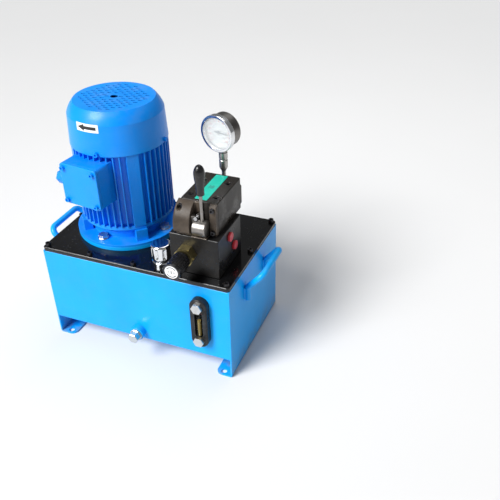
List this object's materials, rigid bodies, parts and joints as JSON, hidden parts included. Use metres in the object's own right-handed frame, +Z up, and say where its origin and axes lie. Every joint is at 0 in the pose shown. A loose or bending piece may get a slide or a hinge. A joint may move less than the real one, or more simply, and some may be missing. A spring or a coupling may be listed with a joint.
{
  "type": "hydraulic power unit",
  "caption": "Steel oil tank with carrying handles and foot flanges; a vertical flange motor, a lever valve with relief knob, a pressure gauge and a filler breather stand on its lid.",
  "frame": {"origin": "on the floor, at the centre of the four foot holes", "axes": "+Z up; +X right along the front wall, towards the valve; the front wall with the level gauge faces -Y"},
  "size_m": [0.462, 0.281, 0.469],
  "materials": {
    "tank_paint": "gloss enamel",
    "motor_paint": "gloss enamel",
    "black_paint": "gloss enamel",
    "black_oxide": "satin",
    "valve_grey": "phosphated",
    "housing_cast": "as cast",
    "zinc": "zinc plated",
    "chrome": "polished",
    "steel": "machined",
    "laminations": "varnished",
    "alloy": "cast",
    "brass": "satin",
    "black_plastic": "satin",
    "knob_plastic": "gloss",
    "red_plastic": "gloss",
    "fan_plastic": "matte",
    "spider_plastic": "polyurethane",
    "gasket_rubber": "matte",
    "dial_white": "matt",
    "clear_glass": "clear"
  },
  "bodies": {
    "unit": {"tank_shell": "tank_paint", "tank_side_left": "tank_paint", "tank_side_right": "tank_paint", "carry_handles": "tank_paint", "lid_gasket": "gasket_rubber", "lid_plate": "black_paint", "lid_screws": "black_oxide", "level_gauge_frame": "chrome", "level_gauge_tube": "clear_glass", "level_gauge_bolts": "zinc", "drain_boss": "tank_paint", "drain_plug": "zinc", "breather_base": "chrome", "small_cover_screws": "motor_paint", "motor_flange": "motor_paint", "motor_frame": "motor_paint", "stator": "laminations", "motor_end_shield": "motor_paint", "fan_cover": "motor_paint", "motor_bearings": "steel", "flange_bolts": "zinc", "terminal_box": "motor_paint", "terminal_box_lid": "motor_paint", "cable_gland": "motor_paint", "bell_housing": "alloy", "pump_body": "alloy", "pump_covers": "alloy", "suction_strainer": "zinc", "tank_pipes": "steel", "manifold_block": "black_oxide", "valve_body": "valve_grey", "valve_screws": "black_oxide", "spool_springs": "steel", "valve_end_cover": "valve_grey", "lever_housing": "housing_cast", "relief_body": "brass", "relief_spring": "steel", "gauge_pipe": "zinc", "gauge_case": "black_oxide", "gauge_bezel": "chrome", "gauge_dial": "dial_white", "gauge_glass": "clear_glass"},
    "rotor": {"motor_shaft": "steel", "rotor_core": "laminations", "motor_fan": "fan_plastic", "coupling_jaws": "alloy", "coupling_spider": "spider_plastic", "drive_gear": "steel"},
    "pump_idler": {"driven_gear": "steel"},
    "lever": {"lever_hub": "chrome", "lever_rod": "chrome", "lever_grip": "black_plastic"},
    "spool": {"valve_spool": "steel"},
    "knob": {"relief_knob": "knob_plastic"},
    "piston": {"relief_piston": "steel"},
    "poppet": {"relief_poppet": "steel"},
    "pointer": {"gauge_pointer": "black_paint"},
    "filler_cap": {"breather_cap": "chrome"},
    "plug_a": {"port_plug_a": "red_plastic"},
    "plug_b": {"port_plug_b": "red_plastic"}
  },
  "joints": [
    {"name": "rotor_spin", "type": "hinge", "parent": "unit", "child": "rotor", "pos_m": [-0.0765, 0.013, 0.2], "axis": [0, 0, 1], "continuous": true},
    {"name": "idler_spin", "type": "hinge", "parent": "unit", "child": "pump_idler", "pos_m": [-0.0465, 0.013, 0.086], "axis": [0, 0, 1], "continuous": true},
    {"name": "lever_tilt", "type": "hinge", "parent": "unit", "child": "lever", "pos_m": [0.125, -0.093, 0.303], "axis": [1, 0, 0], "range_deg": [-14, 14], "stiffness_Nm_per_rad": 1.6},
    {"name": "spool_slide", "type": "slide", "parent": "unit", "child": "spool", "axis": [0, 1, 0], "range_m": [-0.0046, 0.0046], "deforming": ["spool_springs"]},
    {"name": "knob_turn", "type": "hinge", "parent": "unit", "child": "knob", "pos_m": [0.105, -0.12, 0.25], "axis": [0, 1, 0], "range_deg": [0, 1440]},
    {"name": "piston_slide", "type": "slide", "parent": "unit", "child": "piston", "axis": [0, 1, 0], "range_m": [0, 0.0041], "deforming": ["relief_spring"]},
    {"name": "poppet_lift", "type": "slide", "parent": "unit", "child": "poppet", "axis": [0, -1, 0], "range_m": [0, 0.001], "stiffness_N_per_m": 2000, "springref_m": -0.002, "deforming": ["relief_spring"]},
    {"name": "pointer_sweep", "type": "hinge", "parent": "unit", "child": "pointer", "pos_m": [0.1115, 0.052, 0.4154], "axis": [0.2334, 0.9724, 0], "range_deg": [0, 270]},
    {"name": "cap_lift", "type": "slide", "parent": "unit", "child": "filler_cap", "axis": [0, 0, 1], "range_m": [0, 0.03]},
    {"name": "plug_a_pull", "type": "slide", "parent": "unit", "child": "plug_a", "axis": [1, 0, 0], "range_m": [0, 0.02]},
    {"name": "plug_b_pull", "type": "slide", "parent": "unit", "child": "plug_b", "axis": [1, 0, 0], "range_m": [0, 0.02]}
  ],
  "couplings": [
    {"joint": "idler_spin", "follows": "rotor_spin", "ratio": -1},
    {"joint": "spool_slide", "follows": "lever_tilt", "m_per_rad": -0.0185},
    {"joint": "piston_slide", "follows": "knob_turn", "m_per_rad": 0.00015915}
  ]
}
